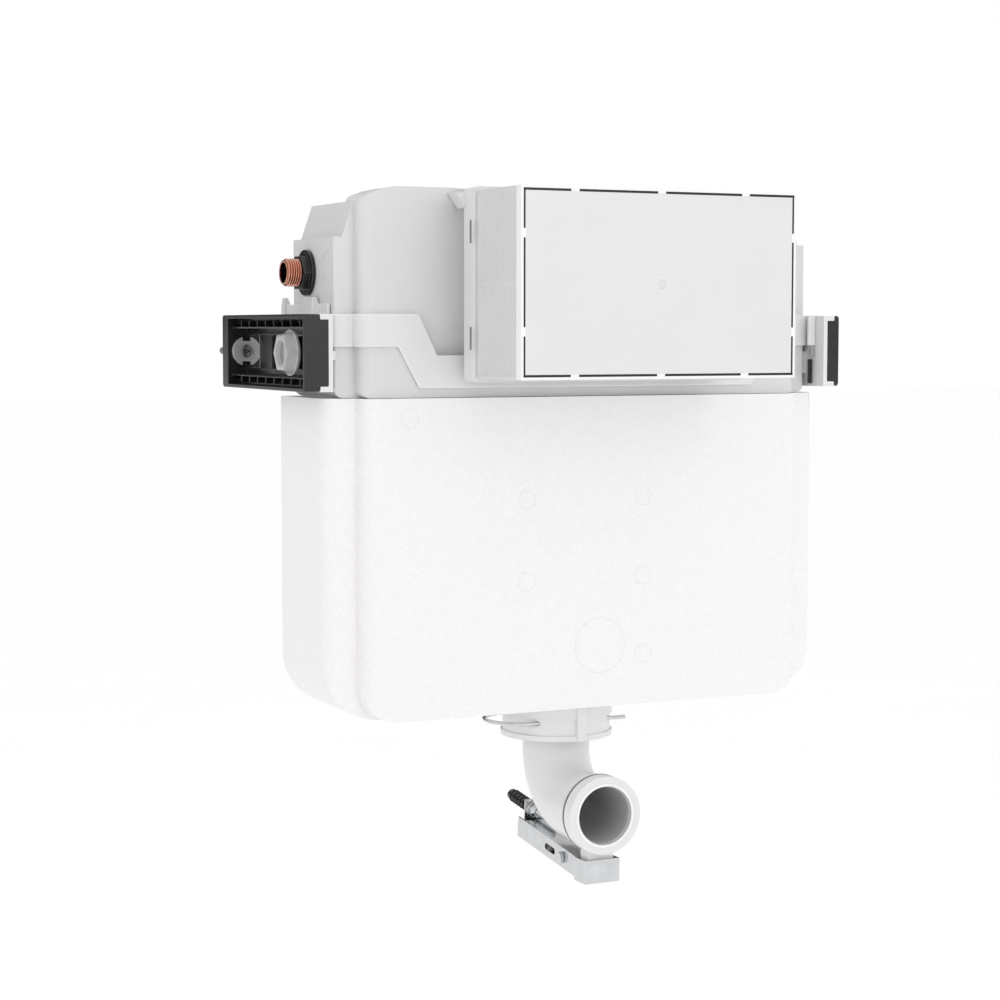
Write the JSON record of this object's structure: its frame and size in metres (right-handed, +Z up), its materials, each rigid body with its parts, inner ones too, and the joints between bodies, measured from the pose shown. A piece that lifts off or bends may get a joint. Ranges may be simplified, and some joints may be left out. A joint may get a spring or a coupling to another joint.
{
  "type": "concealed toilet cistern",
  "caption": "Slim in-wall toilet cistern with foam jacket, front service shaft and cover, sliding wall brackets, side water inlet, dual flush valve and flush bend.",
  "frame": {"origin": "on the wall plane, midway between the two wall screws, at the height of the bracket slots", "axes": "+Z up; -Y out of the wall, the way the cover faces; +X to the right for someone facing the cover"},
  "size_m": [0.464, 0.346, 0.5279],
  "materials": {
    "tank_plastic": "satin blow-moulded polyethylene",
    "foam": "beaded expanded polystyrene",
    "white_plastic": "satin moulded",
    "black_plastic": "satin moulded",
    "grey_plastic": "satin moulded",
    "blue_plastic": "satin moulded",
    "copper_alloy": "polished, threaded",
    "brass": "machined",
    "zinc_steel": "bright zinc plated",
    "braided_hose": "fine wire braid",
    "rubber": "matt"
  },
  "bodies": {
    "cistern": {"tank_shell": "tank_plastic", "foam_jacket": "foam", "tank_strap": "white_plastic", "guide_left": "white_plastic", "guide_right": "white_plastic", "clamp_bush_left": "black_plastic", "clamp_bush_right": "black_plastic", "inlet_nipple": "copper_alloy", "inlet_nut": "black_plastic", "inlet_seal": "rubber", "shaft_frame": "white_plastic", "service_shaft": "white_plastic", "outlet_collar": "white_plastic", "outlet_seal": "rubber", "flush_bend": "white_plastic", "bend_lip_seal": "rubber", "bend_bracket": "zinc_steel", "bend_clamp_screw": "zinc_steel", "bend_wall_screw": "zinc_steel", "bend_wall_plug": "black_plastic", "stop_valve": "brass", "supply_hose": "braided_hose", "hose_nuts": "brass", "fill_valve_body": "white_plastic", "fill_valve_cap": "grey_plastic", "fill_valve_holder": "grey_plastic", "flush_basket": "white_plastic", "lever_bridge": "white_plastic", "rocker_pins": "zinc_steel"},
    "cover": {"front_cover": "white_plastic"},
    "slider_left": {"bracket_left": "black_plastic", "wall_screw_left": "zinc_steel", "wall_washer_left": "grey_plastic"},
    "slider_right": {"bracket_right": "black_plastic", "wall_screw_right": "zinc_steel", "wall_washer_right": "grey_plastic"},
    "nut_left": {"clamp_nut_left": "grey_plastic"},
    "nut_right": {"clamp_nut_right": "grey_plastic"},
    "handle": {"stop_valve_handle": "blue_plastic"},
    "clip": {"retaining_clip": "zinc_steel"},
    "float": {"fill_valve_float": "white_plastic"},
    "float_lever": {"fill_valve_lever": "white_plastic"},
    "flush_riser": {"flush_tube": "grey_plastic", "flush_seal": "rubber"},
    "full_rocker": {"rocker_full": "grey_plastic"},
    "half_riser": {"half_flush_sleeve": "blue_plastic"},
    "half_rocker": {"rocker_half": "blue_plastic"}
  },
  "joints": [
    {"name": "cover_pull", "type": "slide", "parent": "cistern", "child": "cover", "axis": [0, -1, 0], "range_m": [0, 0.06]},
    {"name": "bracket_left_slide", "type": "slide", "parent": "cistern", "child": "slider_left", "axis": [0, -1, 0], "range_m": [0, 0.055]},
    {"name": "bracket_right_slide", "type": "slide", "parent": "cistern", "child": "slider_right", "axis": [0, -1, 0], "range_m": [0, 0.055]},
    {"name": "nut_left_turn", "type": "hinge", "parent": "cistern", "child": "nut_left", "pos_m": [-0.22, -0.1375, 0], "axis": [-1, 0, 0], "range_deg": [0, 180]},
    {"name": "nut_right_turn", "type": "hinge", "parent": "cistern", "child": "nut_right", "pos_m": [0.22, -0.1375, 0], "axis": [1, 0, 0], "range_deg": [0, 180]},
    {"name": "stop_valve_turn", "type": "hinge", "parent": "cistern", "child": "handle", "pos_m": [-0.14, -0.12, 0.0595], "axis": [1, 0, 0], "range_deg": [0, 90]},
    {"name": "clip_pull", "type": "slide", "parent": "cistern", "child": "clip", "axis": [-1, 0, 0], "range_m": [0, 0.1]},
    {"name": "float_rise", "type": "slide", "parent": "cistern", "child": "float", "axis": [0, 0, 1], "range_m": [0, 0.012]},
    {"name": "float_lever_tilt", "type": "hinge", "parent": "cistern", "child": "float_lever", "pos_m": [-0.066, -0.1421, 0.072], "axis": [0, 1, 0], "range_deg": [0, 15.7]},
    {"name": "full_flush_lift", "type": "slide", "parent": "cistern", "child": "flush_riser", "axis": [0, 0, 1], "range_m": [0, 0.012]},
    {"name": "full_rocker_tilt", "type": "hinge", "parent": "cistern", "child": "full_rocker", "pos_m": [0, -0.172, 0.0317], "axis": [1, 0, 0], "range_deg": [0, 17.7]},
    {"name": "half_flush_lift", "type": "slide", "parent": "cistern", "child": "half_riser", "axis": [0, 0, 1], "range_m": [0, 0.008]},
    {"name": "half_rocker_tilt", "type": "hinge", "parent": "cistern", "child": "half_rocker", "pos_m": [0, -0.172, 0.0057], "axis": [1, 0, 0], "range_deg": [0, 11.8]}
  ],
  "couplings": [
    {"joint": "float_lever_tilt", "follows": "float_rise", "rad_per_m": 22.727},
    {"joint": "full_rocker_tilt", "follows": "full_flush_lift", "rad_per_m": 25.641},
    {"joint": "half_rocker_tilt", "follows": "half_flush_lift", "rad_per_m": 25.641}
  ]
}
